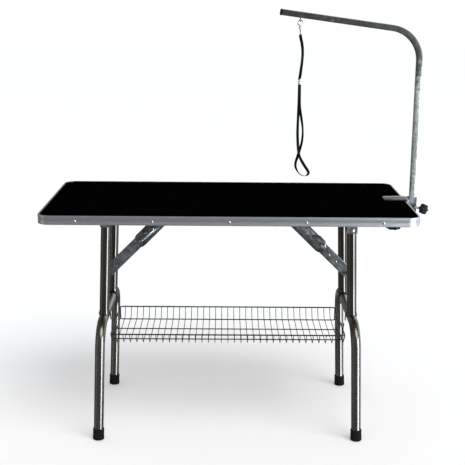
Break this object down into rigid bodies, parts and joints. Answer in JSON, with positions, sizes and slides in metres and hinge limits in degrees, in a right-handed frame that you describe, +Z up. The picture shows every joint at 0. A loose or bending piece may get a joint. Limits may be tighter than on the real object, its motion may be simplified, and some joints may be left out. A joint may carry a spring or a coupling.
{
  "type": "grooming_table",
  "caption": "Folding pet grooming table: black mat, aluminium edge, chrome folding legs with braces, wire basket, clamp-on arm with noose.",
  "frame": {"origin": "middle of the bounding box of the whole piece, on the floor (z = 0 under the feet)", "axes": "+X toward the end that carries the arm, -Y the front long side, +Z up out of the tabletop"},
  "size_m": [1.2818, 0.6, 1.4026],
  "materials": {
    "mat_rubber": "matte ribbed",
    "board": "matte",
    "edge_aluminium": "satin",
    "chrome_tube": "polished",
    "foot_rubber": "matte",
    "black_wire": "semi gloss",
    "black_plastic": "satin",
    "galvanised_arm": "mottled zinc",
    "webbing": "woven",
    "bright_fittings": "polished",
    "zinc_steel": "mottled zinc"
  },
  "bodies": {
    "tabletop": {"board": "board", "mat": "mat_rubber", "edge_trim": "edge_aluminium", "clamp_body": "zinc_steel", "arm_socket": "zinc_steel", "brace_anchor_left": "zinc_steel", "brace_anchor_right": "zinc_steel", "brace_pin_left_front": "zinc_steel", "brace_pin_left_rear": "zinc_steel", "brace_pin_right_front": "zinc_steel", "brace_pin_right_rear": "zinc_steel", "hinge_bolt_left_front": "zinc_steel", "hinge_bolt_left_rear": "zinc_steel", "hinge_bolt_right_front": "zinc_steel", "hinge_bolt_right_rear": "zinc_steel", "hinge_bracket_left_front": "zinc_steel", "hinge_bracket_left_rear": "zinc_steel", "hinge_bracket_right_front": "zinc_steel", "hinge_bracket_right_rear": "zinc_steel"},
    "left_leg": {"leg_u_left": "chrome_tube", "leg_post_left_front": "chrome_tube", "leg_post_left_rear": "chrome_tube", "brace_bar_left": "zinc_steel", "foot_left_front": "foot_rubber", "foot_left_rear": "foot_rubber", "basket_hook_left_front": "black_wire", "basket_hook_left_rear": "black_wire"},
    "left_brace_upper": {"brace_upper_left_front": "zinc_steel", "brace_upper_left_rear": "zinc_steel"},
    "left_brace_lower": {"brace_lower_left": "zinc_steel"},
    "left_latch": {"brace_latch_left": "zinc_steel"},
    "right_leg": {"leg_u_right": "chrome_tube", "leg_post_right_front": "chrome_tube", "leg_post_right_rear": "chrome_tube", "brace_bar_right": "zinc_steel", "foot_right_front": "foot_rubber", "foot_right_rear": "foot_rubber", "basket_hook_right_front": "black_wire", "basket_hook_right_rear": "black_wire"},
    "right_brace_upper": {"brace_upper_right_front": "zinc_steel", "brace_upper_right_rear": "zinc_steel"},
    "right_brace_lower": {"brace_lower_right": "zinc_steel"},
    "right_latch": {"brace_latch_right": "zinc_steel"},
    "basket": {"basket": "black_wire"},
    "arm": {"overhead_arm": "galvanised_arm", "arm_end_cap": "black_plastic", "arm_eye": "zinc_steel"},
    "clamp_screw": {"clamp_screw": "zinc_steel", "clamp_pad": "zinc_steel"},
    "clamp_knob": {"clamp_knob": "black_plastic"},
    "lock_screw": {"lock_screw": "zinc_steel"},
    "lock_knob": {"lock_knob": "black_plastic"},
    "snap_hook": {"snap_hook": "bright_fittings"},
    "snap_gate": {"snap_gate": "bright_fittings"},
    "noose": {"noose_ring": "bright_fittings", "strap_upper": "webbing", "strap_slider": "bright_fittings", "strap_loop": "webbing"}
  },
  "joints": [
    {"name": "left_leg_fold", "type": "hinge", "parent": "tabletop", "child": "left_leg", "pos_m": [-0.44402, 0, 0.731], "axis": [0, -1, 0], "range_deg": [0, 92.15]},
    {"name": "left_brace_upper_turn", "type": "hinge", "parent": "tabletop", "child": "left_brace_upper", "pos_m": [-0.25292, 0, 0.715], "axis": [0, 1, 0], "range_deg": [0, 44.4]},
    {"name": "left_brace_lower_turn", "type": "hinge", "parent": "left_leg", "child": "left_brace_lower", "pos_m": [-0.45212, 0, 0.515], "axis": [0, -1, 0], "range_deg": [0, 49.25]},
    {"name": "left_latch_lift", "type": "hinge", "parent": "left_brace_upper", "child": "left_latch", "pos_m": [-0.32823, 0, 0.65166], "axis": [0, 1, 0], "range_deg": [0, 10]},
    {"name": "right_leg_fold", "type": "hinge", "parent": "tabletop", "child": "right_leg", "pos_m": [0.36338, 0, 0.698], "axis": [0, 1, 0], "range_deg": [0, 92.15]},
    {"name": "right_brace_upper_turn", "type": "hinge", "parent": "tabletop", "child": "right_brace_upper", "pos_m": [0.15808, 0, 0.722], "axis": [0, -1, 0], "range_deg": [0, 38.2]},
    {"name": "right_brace_lower_turn", "type": "hinge", "parent": "right_leg", "child": "right_brace_lower", "pos_m": [0.37028, 0, 0.515], "axis": [0, 1, 0], "range_deg": [0, 40.5]},
    {"name": "right_latch_lift", "type": "hinge", "parent": "right_brace_upper", "child": "right_latch", "pos_m": [0.25751, 0, 0.6374], "axis": [0, -1, 0], "range_deg": [0, 10]},
    {"name": "basket_lift_off", "type": "slide", "parent": "tabletop", "child": "basket", "axis": [0, -1, 0], "range_m": [0, 0.45]},
    {"name": "arm_height", "type": "slide", "parent": "tabletop", "child": "arm", "axis": [0, 0, 1], "range_m": [0, 0.04]},
    {"name": "clamp_screw_travel", "type": "slide", "parent": "tabletop", "child": "clamp_screw", "axis": [0, 0, -1], "range_m": [0, 0.012]},
    {"name": "clamp_knob_turn", "type": "hinge", "parent": "clamp_screw", "child": "clamp_knob", "pos_m": [0.52508, 0.008, 0.678], "axis": [0, 0, -1], "range_deg": [0, 2881]},
    {"name": "lock_screw_travel", "type": "slide", "parent": "tabletop", "child": "lock_screw", "axis": [0.6298, -0.7768, 0], "range_m": [0, 0.003]},
    {"name": "lock_knob_turn", "type": "hinge", "parent": "lock_screw", "child": "lock_knob", "pos_m": [0.61869, -0.00652, 0.742], "axis": [0.6298, -0.7768, 0], "range_deg": [0, 720.5]},
    {"name": "noose_swing", "type": "hinge", "parent": "arm", "child": "snap_hook", "pos_m": [0.19008, 0.03, 1.36124], "axis": [0, 1, 0], "range_deg": [-30, 30]},
    {"name": "noose_swivel", "type": "hinge", "parent": "snap_hook", "child": "noose", "pos_m": [0.19008, 0.03, 1.3373], "axis": [0, 0, 1], "continuous": true},
    {"name": "gate_open", "type": "hinge", "parent": "snap_hook", "child": "snap_gate", "pos_m": [0.19522, 0.03, 1.35067], "axis": [0, -1, 0], "range_deg": [0, 25], "stiffness_Nm_per_rad": 0.004, "springref_deg": -11.46}
  ],
  "couplings": [
    {"joint": "left_brace_upper_turn", "follows": "left_leg_fold", "ratio": 0.48182},
    {"joint": "left_brace_lower_turn", "follows": "left_leg_fold", "ratio": 0.53445},
    {"joint": "right_brace_upper_turn", "follows": "right_leg_fold", "ratio": 0.41454},
    {"joint": "right_brace_lower_turn", "follows": "right_leg_fold", "ratio": 0.4395},
    {"joint": "clamp_knob_turn", "follows": "clamp_screw_travel", "rad_per_m": 4188.8},
    {"joint": "lock_knob_turn", "follows": "lock_screw_travel", "rad_per_m": 4188.8}
  ]
}
